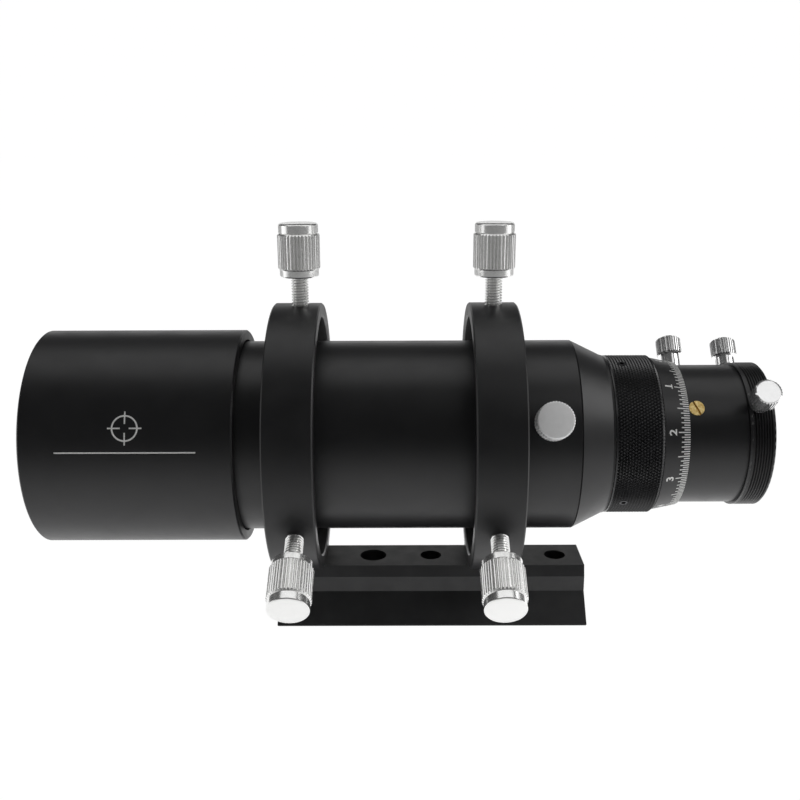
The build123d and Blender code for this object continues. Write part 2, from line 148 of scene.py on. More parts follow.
def form_mesh(name, form, place=None):
    """A form as a mesh in metres, laid at a place, with its seams welded."""
    vertices, faces = form
    mesh = bpy.data.meshes.new(name)
    mesh.from_pydata([Vector(v) * MM for v in vertices], [], faces)
    if place is not None:
        mesh.transform(place)
    work = bmesh.new()
    work.from_mesh(mesh)
    bmesh.ops.remove_doubles(work, verts=work.verts, dist=WELD)
    bmesh.ops.dissolve_degenerate(work, edges=work.edges, dist=SLIVER)
    work.to_mesh(mesh)
    work.free()
    return mesh


def soften(mesh, degrees):
    """Smooth shading with crisp edges where faces meet at more than an angle."""
    mesh.shade_smooth()
    mesh.set_sharp_from_angle(angle=math.radians(degrees))


def add_piece(name, mesh, finish, body, stands_for=(), place=None):
    """A finished piece that rides on a body."""
    mesh.materials.clear()
    mesh.materials.append(finish)
    piece = bpy.data.objects.new(name, mesh)
    bpy.context.scene.collection.objects.link(piece)
    if place is not None:
        piece.matrix_world = place
    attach(piece, body)
    for node in stands_for:
        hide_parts(node)
    return piece


# turned forms are made about Z: this lays them along the tube, with their start facing the camera
tube_place = Matrix((
    (0, 0, 1, 0),
    (-1, 0, 0, 0),
    (0, -1, 0, tube_z * MM),
    (0, 0, 0, 1),
))


def outward(angle):
    """Unit vector square to the tube, at an angle from -Y upwards."""
    return Vector((0, -math.cos(math.radians(angle)), math.sin(math.radians(angle))))


def standing(place, axis):
    """A matrix at a place in metres, with its Z on an axis square to the tube and its X on +X."""
    along = Vector((1, 0, 0))
    turn = Matrix((along, axis.cross(along), axis)).transposed().to_4x4()
    return Matrix.Translation(place) @ turn


def screw_place(joint_name, spin):
    """Where a screw stands: its own Z runs outwards along its joint's axis."""
    joint = joints[joint_name]
    return standing(joint["pos_m"], Vector(joint["axis"])) @ Matrix.Rotation(spin, 4, "Z")


# ---- finishes ----------------------------------------------------------------------------------


class Finish:
    """A node material around one Principled shader, in the piece's own coordinates."""

    def __init__(self, name, colour, roughness, metallic=0.0):
        self.made = bpy.data.materials.new(name)
        self.made.use_nodes = True
        self.tree = self.made.node_tree
        self.shader = self.tree.nodes["Principled BSDF"]
        self.shader.inputs["Base Color"].default_value = (*colour, 1)
        self.shader.inputs["Roughness"].default_value = roughness
        self.shader.inputs["Metallic"].default_value = metallic
        self.normal = None

    def add(self, kind, **settings):
        node = self.tree.nodes.new("ShaderNode" + kind)
        for key, value in settings.items():
            setattr(node, key, value)
        return node

    def link(self, source, target):
        self.tree.links.new(source, target)

    def own_place(self):
        """The piece's own coordinates."""
        return self.add("TexCoord").outputs["Object"]

    def stretched(self, scale):
        """The piece's coordinates, scaled along each axis."""
        mapping = self.add("Mapping")
        mapping.inputs["Scale"].default_value = scale
        self.link(self.own_place(), mapping.inputs["Vector"])
        return mapping.outputs["Vector"]

    def lathe(self, about_tube):
        """(along, outwards) coordinates of a turning axis: the tube's, or the piece's own Z."""
        split = self.add("SeparateXYZ")
        self.link(self.own_place(), split.inputs[0])
        across = self.add("CombineXYZ")
        if about_tube:
            height = self.add("Math", operation="SUBTRACT")
            height.inputs[1].default_value = tube_z * MM
            self.link(split.outputs["Z"], height.inputs[0])
            self.link(split.outputs["Y"], across.inputs["X"])
            self.link(height.outputs[0], across.inputs["Y"])
            along = split.outputs["X"]
        else:
            self.link(split.outputs["X"], across.inputs["X"])
            self.link(split.outputs["Y"], across.inputs["Y"])
            along = split.outputs["Z"]
        radius = self.add("VectorMath", operation="LENGTH")
        self.link(across.outputs[0], radius.inputs[0])
        place = self.add("CombineXYZ")
        self.link(along, place.inputs["X"])
        self.link(radius.outputs["Value"], place.inputs["Y"])
        return place.outputs[0], radius.outputs["Value"]

    def noise(self, size, detail=2.0, place=None):
        """Noise whose features are about size millimetres."""
        texture = self.add("TexNoise")
        texture.inputs["Scale"].default_value = 1 / (size * MM)
        texture.inputs["Detail"].default_value = detail
        self.link(place or self.own_place(), texture.inputs["Vector"])
        return texture.outputs["Fac"]

    def relief(self, height, depth):
        """Bump of a depth in millimetres, over any relief already there."""
        bump = self.add("Bump")
        bump.inputs["Strength"].default_value = 1.0
        bump.inputs["Distance"].default_value = depth * MM
        self.link(height, bump.inputs["Height"])
        if self.normal is not None:
            self.link(self.normal, bump.inputs["Normal"])
        self.normal = bump.outputs["Normal"]
        self.link(self.normal, self.shader.inputs["Normal"])

    def spread(self, source, low, high, start=0.3, end=0.7):
        """A number from low to high as source goes from start to end."""
        ranged = self.add("MapRange")
        ranged.inputs["From Min"].default_value = start
        ranged.inputs["From Max"].default_value = end
        ranged.inputs["To Min"].default_value = low
        ranged.inputs["To Max"].default_value = high
        self.link(source, ranged.inputs["Value"])
        return ranged.outputs["Result"]

    def vary_roughness(self, source, low, high):
        self.link(self.spread(source, low, high), self.shader.inputs["Roughness"])

    def vary_colour(self, source, dark, light):
        ramp = self.add("ValToRGB")
        ramp.color_ramp.elements[0].position = 0.3
        ramp.color_ramp.elements[0].color = (*dark, 1)
        ramp.color_ramp.elements[1].position = 0.7
        ramp.color_ramp.elements[1].color = (*light, 1)
        self.link(source, ramp.inputs["Fac"])
        self.link(ramp.outputs["Color"], self.shader.inputs["Base Color"])


def anodised(name, dark, light, rough, turned_depth, inner_radius=None):
    """Black anodised aluminium, turned about the tube's axis. Inside inner_radius it is matt."""
    finish = Finish(name, light, sum(rough) / 2)
    lay, radius = finish.lathe(about_tube=True)
    finish.relief(finish.noise(0.12, 3.0, lay), turned_depth)
    finish.relief(finish.noise(0.09, 2.0), 0.0012)
    finish.vary_colour(finish.noise(9.0, 4.0), dark, light)
    blotches = finish.spread(finish.noise(6.0, 5.0), rough[0], rough[1])
    if inner_radius is None:
        finish.link(blotches, finish.shader.inputs["Roughness"])
        return finish.made
    inside = finish.add("Math", operation="LESS_THAN")
    inside.inputs[1].default_value = inner_radius * MM
    finish.link(radius, inside.inputs[0])
    mixed = finish.add("Mix")
    mixed.inputs[3].default_value = 0.95
    finish.link(inside.outputs[0], mixed.inputs[0])
    finish.link(blotches, mixed.inputs[2])
    finish.link(mixed.outputs[0], finish.shader.inputs["Roughness"])
    return finish.made


def extruded_black(name):
    """Black anodised extrusion: die lines along X over a fine etched grain."""
    finish = Finish(name, (0.014, 0.014, 0.015), 0.42)
    finish.relief(finish.noise(0.16, 3.0, finish.stretched((0.01, 1.0, 1.0))), 0.006)
    finish.relief(finish.noise(0.1, 2.0), 0.003)
    finish.vary_colour(finish.noise(5.0, 4.0), (0.011, 0.011, 0.012), (0.018, 0.018, 0.019))
    finish.vary_roughness(finish.noise(4.0, 4.0), 0.38, 0.48)
    return finish.made


MARK_SHADE = 0.95           # how dark the handling marks on bright metal are


def bright_metal(name, colour, rough, turned_depth, grain_depth, metallic):
    """Turned bright metal: rings round the piece's own Z, a fine grain and slight handling marks.
    A low metallic value gives a paler metal that mirrors less."""
    finish = Finish(name, colour, sum(rough) / 2, metallic)
    lay, _ = finish.lathe(about_tube=False)
    finish.relief(finish.noise(0.1, 3.0, lay), turned_depth)
    finish.relief(finish.noise(0.14, 3.0), grain_depth)
    darker = tuple(MARK_SHADE * part for part in colour)
    finish.vary_colour(finish.noise(1.6, 4.0), darker, colour)
    finish.vary_roughness(finish.noise(1.1, 3.0), rough[0], rough[1])
    return finish.made


def rough_brass():
    """Brass with an uneven, slightly rough surface."""
    finish = Finish("rough_brass", (0.86, 0.62, 0.24), 0.38, 0.6)
    finish.vary_colour(finish.noise(0.5, 4.0), (0.62, 0.40, 0.10), (0.96, 0.76, 0.36))
    finish.relief(finish.noise(0.22, 4.0), 0.02)
    finish.vary_roughness(finish.noise(0.4, 3.0), 0.28, 0.5)
    return finish.made


def dark_steel():
    """Blackened steel for the grub screws and the ring bolts."""
    finish = Finish("blackened_steel", (0.05, 0.05, 0.055), 0.4, 0.9)
    finish.vary_colour(finish.noise(0.6, 3.0), (0.03, 0.03, 0.033), (0.08, 0.08, 0.085))
    finish.relief(finish.noise(0.15, 2.0), 0.004)
    return finish.made


def matte_black():
    """Flat black paint for the baffles and the lens retaining ring."""
    finish = Finish("matte_black_paint", (0.006, 0.006, 0.006), 0.95)
    finish.vary_colour(finish.noise(0.5, 3.0), (0.004, 0.004, 0.004), (0.010, 0.010, 0.010))
    finish.relief(finish.noise(0.18, 3.0), 0.02)
    return finish.made


def coated_glass():
    """Lens glass with a thin anti-reflection film."""
    finish = Finish("coated_glass", (0.93, 0.98, 0.96), 0.02)
    finish.shader.inputs["Transmission Weight"].default_value = 1.0
    finish.shader.inputs["IOR"].default_value = 1.52
    finish.shader.inputs["Thin Film Thickness"].default_value = 330.0
    finish.shader.inputs["Thin Film IOR"].default_value = 1.38
    finish.vary_roughness(finish.noise(3.0, 3.0), 0.01, 0.03)
    return finish.made


def felt():
    """Black felt that the dew shield slides on."""
    finish = Finish("black_felt", (0.012, 0.012, 0.013), 1.0)
    finish.shader.inputs["Sheen Weight"].default_value = 0.3
    finish.vary_colour(finish.noise(0.25, 4.0), (0.006, 0.006, 0.006), (0.03, 0.03, 0.032))
    finish.relief(finish.noise(0.2, 5.0), 0.15)
    return finish.made


def moulded_plastic(name, colour, rough):
    """A plain machined plastic, slightly translucent at its edges."""
    finish = Finish(name, colour, rough)
    finish.shader.inputs["Subsurface Weight"].default_value = 0.2
    finish.shader.inputs["Subsurface Scale"].default_value = 0.3 * MM
    finish.relief(finish.noise(0.2, 3.0), 0.004)
    finish.vary_roughness(finish.noise(0.8, 3.0), rough - 0.06, rough + 0.06)
    return finish.made


def white_paint():
    """Paint filled into engraving: not quite even."""
    finish = Finish("white_marking_paint", (0.82, 0.82, 0.80), 0.55)
    finish.vary_colour(finish.noise(0.35, 3.0), (0.62, 0.62, 0.61), (0.88, 0.88, 0.86))
    finish.relief(finish.noise(0.12, 2.0), 0.006)
    return finish.made


BARREL_LOOK = ((0.007, 0.007, 0.008), (0.010, 0.010, 0.011), (0.34, 0.40), 0.0010)
TUBE_MATT = 25.1            # the tube and the shield are matt inside these radii
HOOD_MATT = 28.3
barrel_black = anodised("barrel_black", *BARREL_LOOK)
tube_black = anodised("tube_black", *BARREL_LOOK, TUBE_MATT)
hood_black = anodised(
    "hood_black", (0.008, 0.008, 0.009), (0.011, 0.011, 0.012), (0.36, 0.42), 0.0012, HOOD_MATT)
ring_black = anodised(
    "ring_black", (0.008, 0.008, 0.009), (0.012, 0.012, 0.013), (0.36, 0.44), 0.0016)
knurl_black = anodised(
    "knurl_black", (0.014, 0.014, 0.015), (0.022, 0.022, 0.024), (0.24, 0.30), 0.0006)
bar_black = extruded_black("bar_black")
satin_nickel = bright_metal(
    "satin_nickel", (0.94, 0.94, 0.93), (0.20, 0.25), 0.0003, 0.0002, 0.92)
bright_chrome = bright_metal(
    "bright_chrome", (0.96, 0.96, 0.96), (0.10, 0.16), 0.0003, 0.0002, 0.95)
satin_aluminium = bright_metal(
    "satin_aluminium", (0.96, 0.96, 0.96), (0.40, 0.48), 0.0010, 0.0012, 0.2)
brass = rough_brass()
blackened_steel = dark_steel()
inner_black = matte_black()
lens_glass = coated_glass()
black_felt = felt()
white_nylon = moulded_plastic("white_nylon", (0.85, 0.84, 0.80), 0.45)
black_ptfe = moulded_plastic("black_ptfe", (0.008, 0.008, 0.008), 0.6)
marking = white_paint()

FINISHES = {
    "dovetail_bar": bar_black,
    "front_ring": ring_black,
    "rear_ring": ring_black,
    "ring_bolts": blackened_steel,
    "main_tube": tube_black,
    "dew_shield": hood_black,
    "lens_cell": barrel_black,
    "lens_retaining_ring": inner_black,
    "front_baffle": inner_black,
    "rear_baffle": inner_black,
    "crown_lens": lens_glass,
    "flint_lens": lens_glass,
    "shield_felt_band": black_felt,
    "focuser_adapter": barrel_black,
    "inner_barrel": barrel_black,
    "focus_washer": black_ptfe,
    "scale_ring": barrel_black,
    "grub_screws": blackened_steel,
    "guide_screw": brass,
    "compression_ring": brass,
}
for node_name, node in nodes.items():
    wanted = white_nylon if node_name.endswith("_tip") else FINISHES.get(node_name, barrel_black)
    for material_slot in node.material_slots:
        material_slot.material = wanted


# ---- thumbscrews and lock screws ---------------------------------------------------------------

# a flute's outline: share of its width, and how far the metal lies under the crest as a share of
# the depth; the groove is narrow and the ridge is broad and round
FLUTE_SHAPE = ((0.0, 1.0), (0.13, 0.55), (0.3, 0.12), (0.5, 0.0), (0.7, 0.12), (0.87, 0.55))


def fluted(count, crest, depth):
    """Radius of a fluted grip by share of a turn, and the columns that its flutes need."""
    per_flute = len(FLUTE_SHAPE)

    def radius_at(turn):
        column = round(turn * count * per_flute)
        return crest - depth * FLUTE_SHAPE[column % per_flute][1]

    return radius_at, count * per_flute


def fluted_turn(turn, count):
    """The share of a turn where a flute's column really stands."""
    per_flute = len(FLUTE_SHAPE)
    column = round(turn * count * per_flute)
    return (column // per_flute + FLUTE_SHAPE[column % per_flute][0]) / count


def fluted_form(count, crest, depth, outline_with):
    """A turned form whose columns follow the flutes; outline_with(radius) lists its outline."""
    radius_at, columns = fluted(count, crest, depth)
    vertices, faces = turned(columns, lambda turn: outline_with(radius_at(turn)))
    per_column = len(vertices) // columns
    placed = []
    for index, (x, y, z) in enumerate(vertices):
        radius = math.hypot(x, y)
        angle = 2 * math.pi * fluted_turn(index // per_column / columns, count)
        placed.append((radius * math.cos(angle), radius * math.sin(angle), z))
    return placed, faces


GRIP_FLUTES = 38
GRIP_FLUTE_DEPTH = 0.5
STUD_RADIUS = 2.5           # M5
STUD_ROOT = 2.0
STUD_PITCH = 0.8
STUD_COLUMNS = 48


def knurled_thumbscrew(start, end, crest):
    """M5 ring screw: thread, smooth collar, fluted grip and smooth cap. Its Z starts at the ring's
    centre; start and end are its inner and outer ends, crest the grip's radius."""
    cap_start = end - 2.6
    grip_start = end - 12.9
    collar_start = end - 14.95
    collar = crest - 0.45
    cap = crest - 0.4

    def outline_with(radius):
        return [
            (collar_start, collar - 0.35),
            (collar_start + 0.35, collar),
            (grip_start, collar),
            (grip_start + 0.02, collar + 0.02),
            (grip_start + radius - collar, radius),
            (cap_start - 0.1 - radius + cap - 0.1, radius),
            (cap_start - 0.1, cap - 0.1),
            (cap_start, cap - 0.22),
            (cap_start + 0.12, cap),
            (end - 0.42, cap),
            (end - 0.35, cap),
            (end - 0.15, cap - 0.14),
            (end, cap - 0.4),
        ]

    grip = fluted_form(GRIP_FLUTES, crest, GRIP_FLUTE_DEPTH, outline_with)
    stud = thread(start, collar_start, STUD_ROOT, STUD_RADIUS, STUD_PITCH, STUD_COLUMNS)
    return joined(stud, inner_end(start, STUD_RADIUS, STUD_COLUMNS), grip)


def inner_end(height, radius, columns):
    """The flat inner end of a screw's thread, facing down Z."""
    vertices = []
    for column in range(columns):
        angle = 2 * math.pi * column / columns
        vertices.append((radius * math.cos(angle), radius * math.sin(angle), height))
    return vertices, [list(reversed(range(columns)))]


def lock_screw(sizes):
    """Lock screw: thread, polished shoulder and fluted head with a slightly domed face. Its heights
    are where the thread, the shoulder and the head start, and where the face ends."""
    start, shoulder_start, head_start, end = sizes["heights"]
    thread_radius, shoulder, crest = sizes["radii"]
    dome = sizes["dome"]

    def outline_with(radius):
        chamfer = crest - 0.25
        face = crest - 0.75
        return [
            (head_start, chamfer - 0.15),
            (head_start + 0.15 + radius - chamfer, radius),
            (end - 0.15 - dome - radius + chamfer, radius),
            (end - dome, chamfer - 0.15),
            (end - dome + 0.05, face),
            (end - 0.35 * dome, 0.7 * face),
            (end - 0.08 * dome, 0.35 * face),
            (end, 0.05),
        ]

    head = fluted_form(sizes["flutes"], crest, sizes["flute_depth"], outline_with)
    edge = 0.12
    columns = 40
    stem = turned(64, lambda turn: [
        (shoulder_start, shoulder - edge),
        (shoulder_start + edge, shoulder),
        (head_start + 0.02, shoulder),
        (head_start + 0.02, shoulder - edge),
    ])
    root = thread_radius - 0.3
    stud = thread(start, shoulder_start, root, thread_radius, sizes["pitch"], columns)
    return joined(stud, inner_end(start, thread_radius, columns), stem, head)


TIP_DEPTH = 3.0             # how far a ring screw's nylon tip is let into it
# the upright ring screw gives the sizes that all six share
ring_centre_z = joints["front_top_turn"]["pos_m"][2] / MM
upright_low, upright_high = extent("front_top_thumbscrew")


def screw_start(screw):
    """Inner end of a ring screw, from the ring's centre: how far its round nylon tip reaches out,
    less the length that the tip is let into the screw."""
    tip_low, tip_high = extent(screw + "_tip")
    tip_radius = (tip_high.x - tip_low.x) / 2
    axis = Vector(joints[screw + "_turn"]["axis"])
    outer_end = tip_high.z - ring_centre_z if axis.z > 0 else ring_centre_z - tip_low.z
    side_rise = tip_radius * math.hypot(axis.x, axis.y)
    return (outer_end - side_rise) / abs(axis.z) - TIP_DEPTH


crest = (upright_high.x - upright_low.x) / 2
screw_length = upright_high.z - ring_centre_z - screw_start("front_top")
SCREW_CREASE = 32           # degrees
REAR_SPIN = 0.05            # radians: the screws stand at slightly different turns
for ring_name, ring_spin in (("front", 0), ("rear", REAR_SPIN)):
    for place_name, spin in (("top", 0.03), ("near", 0.11), ("far", 0.07)):
        screw = f"{ring_name}_{place_name}"
        start = screw_start(screw)
        form = knurled_thumbscrew(start, start + screw_length, crest)
        mesh = form_mesh(screw + "_knurled_screw", form)
        soften(mesh, SCREW_CREASE)
        add_piece(
            screw + "_knurled_screw",
            mesh,
            satin_nickel,
            screw + "_screw",
            [screw + "_thumbscrew"],
            screw_place(screw + "_turn", spin + ring_spin),
        )

# heights from the tube's axis, and the radii of the thread, the shoulder and the head
SMALL_LOCK = {
    "radii": (1.5, 2.75, 3.75), "dome": 0.1, "flutes": 28, "flute_depth": 0.34, "pitch": 0.5,
}
EYEPIECE_LOCK = {"heights": (17.7, 21.9, 25.0, 30.6), **SMALL_LOCK}
LOCKS = {
    "tube_lock": {
        "heights": (25.6, 28.6, 31.5, 38.0), "radii": (2.0, 3.0, 5.1), "dome": 0.35,
        "flutes": 40, "flute_depth": 0.3, "pitch": 0.7,
    },
    "focus_lock": {"heights": (18.7, 21.2, 25.7, 31.3), **SMALL_LOCK},
    "eyepiece_lock_top": EYEPIECE_LOCK,
    "eyepiece_lock_near": EYEPIECE_LOCK,
}
LOCK_SPIN = 0.05
for lock_name, sizes in LOCKS.items():
    mesh = form_mesh(lock_name + "_fluted_knob", lock_screw(sizes))
    soften(mesh, SCREW_CREASE)
    satin = lock_name == "tube_lock"
    add_piece(
        lock_name + "_fluted_knob",
        mesh,
        satin_aluminium if satin else bright_chrome,
        lock_name + "_knob",
        [lock_name + "_screw"],
        screw_place(lock_name + "_turn", LOCK_SPIN),
    )

# ---- knurled focus ring ------------------------------------------------------------------------

grip_low, grip_high = extent("knurled_focus_ring")
grip_radius = (grip_high.z - grip_low.z) / 2
KNURL_COUNT = 150           # diamonds round the ring
KNURL_ROWS = 15             # half diamonds along it
KNURL_DEPTH = 0.5
PLAIN_BAND = 0.55           # smooth land in front of the knurling
REAR_CHAMFER = 0.8
KNURL_CREASE = 12           # degrees
# the ring's stepped bore, as (along, radius) from its rear end to its front
FRONT_BORE = 21.95
REAR_BORE = 21.62
GRIP_BORE = [(62.0, REAR_BORE), (62.0, 20.36), (59.0, 20.36), (59.0, FRONT_BORE)]


def knurled_form():
    """Diamond knurling as four-sided points: on a half-diamond grid, every other corner is a point
    and the rest are crossings of the grooves."""
    front, rear = grip_low.x, grip_high.x
    first = front + PLAIN_BAND + 0.1
    step = (rear - REAR_CHAMFER - first) / KNURL_ROWS
    columns = 2 * KNURL_COUNT
    root = grip_radius - KNURL_DEPTH
    band = grip_radius - 0.1
    front_side = [(front, FRONT_BORE), (front, grip_radius - 0.25), (front + 0.15, band)]
    front_side += [(first - 0.1, band), (first - 0.02, root)]
    rear_side = [(rear - 0.1, grip_radius - 0.75), (rear, grip_radius - 0.9), (rear, REAR_BORE)]
    rear_side += GRIP_BORE
    vertices = []
    for column in range(columns):
        angle = 2 * math.pi * column / columns
        outline = list(front_side)
        for row in range(KNURL_ROWS + 1):
            crossing = (row + column) % 2 == 0
            outline.append((first + row * step, root if crossing else grip_radius))
        outline += rear_side
        vertices += [(r * math.cos(angle), r * math.sin(angle), along) for along, r in outline]
    count = len(outline)
    knurl_start = len(front_side)
    faces = []
    for column in range(columns):
        here = column * count
        there = (column + 1) % columns * count
        for k in range(count):
            after = (k + 1) % count
            a, b, c, d = here + k, there + k, there + after, here + after
            row = k - knurl_start
            if 0 <= row < KNURL_ROWS:
                # each cell is split along its groove, from crossing to crossing
                if (row + column) % 2 == 0:
                    faces += [[a, b, c], [a, c, d]]
                else:
                    faces += [[a, b, d], [b, c, d]]
            else:
                faces.append([a, b, c, d])
    return vertices, faces


def cut_with(mesh, cutter_meshes):
    """The mesh with each closed cutter taken out of it."""
    work = bpy.data.objects.new("cut_work", mesh)
    bpy.context.scene.collection.objects.link(work)
    cutters = []
    for cutter_mesh in cutter_meshes:
        cutter = bpy.data.objects.new("cutter", cutter_mesh)
        bpy.context.scene.collection.objects.link(cutter)
        cutters.append(cutter)
        modifier = work.modifiers.new("cut", "BOOLEAN")
        modifier.operation = "DIFFERENCE"
        modifier.solver = "EXACT"
        modifier.object = cutter
    depsgraph = bpy.context.evaluated_depsgraph_get()
    result = bpy.data.meshes.new_from_object(work.evaluated_get(depsgraph))
    for leftover in [work, *cutters]:
        bpy.data.objects.remove(leftover)
    return result


GRUB_ANGLES = (78.0, -42.0, 198.0)  # where the grub screws stand, from -Y upwards
GRUB_HOLE = [(21.0, 1.25), (25.0, 1.25)]
grub_low, grub_high = extent("grub_screws")
grub_x = (grub_low.x + grub_high.x) / 2
hole_form = turned(32, lambda turn: GRUB_HOLE)
hole_cutters = []
for angle in GRUB_ANGLES:
    hole_place = standing((grub_x * MM, 0, tube_z * MM), outward(angle))
    hole_cutters.append(form_mesh("grub_hole", hole_form, hole_place))
knurled_mesh = cut_with(form_mesh("knurled_grip", knurled_form(), tube_place), hole_cutters)
soften(knurled_mesh, KNURL_CREASE)
add_piece("focus_ring_diamond_grip", knurled_mesh, knurl_black, "focus_ring",
          ["knurled_focus_ring"])

# ---- scale: graduations and numbers, filled with white paint -----------------------------------

_, scale_high = extent("scale_ring")
SCALE_FRONT_RADIUS = 22.6
SCALE_REAR_RADIUS = 21.1
SCALE_NUMBERS = 10
TICKS_PER_NUMBER = 20
TICK_WIDTH = 0.3
TICK_LENGTHS = {"long": 3.4, "even": 2.5, "odd": 1.7}
NUMBER_HEIGHT = 2.15
NUMBER_BASE = 67.25         # where the numbers stand along X; their tops point forwards
SECOND_NUMBER_ANGLE = 18.0  # where "2" stands at rest, from -Y upwards
NUMBER_WIDEN = 1.3          # extended numerals
NUMBER_WEIGHT = 0.022       # how much the strokes are thickened, as a share of the type size
FOOT_WIDTH = 1.5            # the bar under the "1"
FOOT_HEIGHT = 0.3
TICK_INSET = 0.12           # from the scale ring's rear edge
PAINT_PROUD = 0.025
PAINT_ROOT = -0.12


def on_scale(x, degrees, height):
    """A point on the scale's cone."""
    share = (x - grip_high.x) / (scale_high.x - grip_high.x)
    radius = SCALE_FRONT_RADIUS + (SCALE_REAR_RADIUS - SCALE_FRONT_RADIUS) * share + height
    return Vector((x, 0, tube_z)) + outward(degrees) * radius


def bar_form(degrees, front, rear, width):
    """A thin painted bar let into the cone: a graduation, or the foot of a numeral."""
    half = math.degrees(width / 2 / SCALE_REAR_RADIUS)
    vertices = [
        on_scale(x, degrees + side * half, height)
        for height in (PAINT_ROOT, PAINT_PROUD)
        for x, side in ((front, -1), (rear, -1), (rear, 1), (front, 1))
    ]
    faces = [[3, 2, 1, 0], [4, 5, 6, 7], [0, 1, 5, 4], [1, 2, 6, 5], [2, 3, 7, 6], [3, 0, 4, 7]]
    return vertices, faces


def number_form(digit, degrees):
    """One numeral, upright towards the front, wrapped round the cone."""
    curve = bpy.data.curves.new("numeral", "FONT")
    curve.body = str(digit)
    curve.extrude = 0.5     # only gives it two sides, which PAINT_PROUD and PAINT_ROOT then place
    curve.offset = NUMBER_WEIGHT
    curve.resolution_u = 5
    carrier = bpy.data.objects.new("numeral", curve)
    flat = bpy.data.meshes.new_from_object(carrier)
    tops = [v.co.y for v in flat.vertices]
    sides = [v.co.x for v in flat.vertices]
    scale = NUMBER_HEIGHT / (max(tops) - min(tops))
    middle = (max(sides) + min(sides)) / 2
    vertices = []
    for v in flat.vertices:
        reach = (v.co.x - middle) * scale * NUMBER_WIDEN
        x = NUMBER_BASE - (v.co.y - min(tops)) * scale
        height = PAINT_PROUD if v.co.z > 0 else PAINT_ROOT
        vertices.append(on_scale(x, degrees + math.degrees(reach / SCALE_FRONT_RADIUS), height))
    faces = [list(polygon.vertices) for polygon in flat.polygons]
    bpy.data.objects.remove(carrier)
    return vertices, faces


mark_forms = []
tick_rear = scale_high.x - TICK_INSET
number_step = 360 / SCALE_NUMBERS
tick_step = number_step / TICKS_PER_NUMBER
for number in range(SCALE_NUMBERS):
    number_angle = SECOND_NUMBER_ANGLE - number_step * (number - 2)
    mark_forms.append(number_form(number, number_angle))
    if number == 1:
        foot_front = NUMBER_BASE - FOOT_HEIGHT
        mark_forms.append(bar_form(number_angle, foot_front, NUMBER_BASE, FOOT_WIDTH))
    for tick in range(TICKS_PER_NUMBER):
        if tick % (TICKS_PER_NUMBER // 2) == 0:
            length = TICK_LENGTHS["long"]
        else:
            length = TICK_LENGTHS["odd" if tick % 2 else "even"]
        tick_angle = number_angle - tick * tick_step
        mark_forms.append(bar_form(tick_angle, tick_rear - length, tick_rear, TICK_WIDTH))
marks_mesh = form_mesh("scale_marks", joined(*mark_forms))
add_piece("focus_scale_marks", marks_mesh, marking, "focus_ring")

# ---- drawtube with its M42 x 0.75 thread -------------------------------------------------------

draw_low, draw_high = extent("drawtube")
draw_crest = (draw_high.z - draw_low.z) / 2
THREAD_FRONT = draw_high.x - 6.5
THREAD_REAR = draw_high.x - 0.5
DRAW_PITCH = 0.75
DRAW_THREAD_DEPTH = 0.42
DRAW_THREAD_COLUMNS = 180
DRAW_CREASE = 28            # degrees


def threaded_drawtube():
    """The drawtube's own shape with its plain rear band changed for a cut thread. The thread's
    skin also runs across the holes of the two eyepiece locks, which are open in the CAD."""
    work = bmesh.new()
    work.from_mesh(nodes["drawtube"].data)
    for x in (THREAD_FRONT, THREAD_REAR):
        parts = work.verts[:] + work.edges[:] + work.faces[:]
        bmesh.ops.bisect_plane(
            work, geom=parts, dist=WELD, plane_co=(x * MM, 0, 0), plane_no=(1, 0, 0))
    band = []
    for face in work.faces:
        centre = face.calc_center_median() / MM
        radius = math.hypot(centre.y, centre.z - tube_z)
        if THREAD_FRONT < centre.x < THREAD_REAR and radius > draw_crest - 0.1:
            band.append(face)
    bmesh.ops.delete(work, geom=band, context="FACES")
    work.verts.index_update()
    vertices = [v.co / MM for v in work.verts]
    faces = [[v.index for v in face.verts] for face in work.faces]
    work.free()
    helix_vertices, helix_faces = thread(
        THREAD_FRONT, THREAD_REAR, draw_crest - DRAW_THREAD_DEPTH, draw_crest, DRAW_PITCH,
        DRAW_THREAD_COLUMNS)
    laid = [tube_place @ (Vector(v) * MM) / MM for v in helix_vertices]
    return joined((vertices, faces), (laid, helix_faces))


drawtube_mesh = form_mesh("drawtube_threaded", threaded_drawtube())
soften(drawtube_mesh, DRAW_CREASE)
add_piece("drawtube_threaded", drawtube_mesh, barrel_black, "draw",
          ["drawtube"])

# ---- a plain aiming mark printed on the dew shield ---------------------------------------------

shield_low, shield_high = extent("dew_shield")
shield_radius = (shield_high.z - shield_low.z) / 2
PRINT_PROUD = 0.015
PRINT_WIDTH = 0.4
MARK_X = -83.0
MARK_ANGLE = 17.0           # from -Y upwards
RETICLE = 3.4               # radius of the mark's circle
RETICLE_REACH = 2.0         # where its centre stands
RETICLE_WIDTH = 0.45
RULE_REACH = -4.6           # where the line under it stands
RULE_HALF = 19


def on_shield(x, reach, height):
    """A point on the dew shield: reach runs upwards round it from the mark's centre."""
    degrees = MARK_ANGLE + math.degrees(reach / shield_radius)
    return Vector((x, 0, tube_z)) + outward(degrees) * (shield_radius + height)


# a printed strip's section: which side of its line, and how far it stands out of the surface
STRIP_CORNERS = ((1, PAINT_ROOT), (1, PRINT_PROUD), (-1, PRINT_PROUD), (-1, PAINT_ROOT))


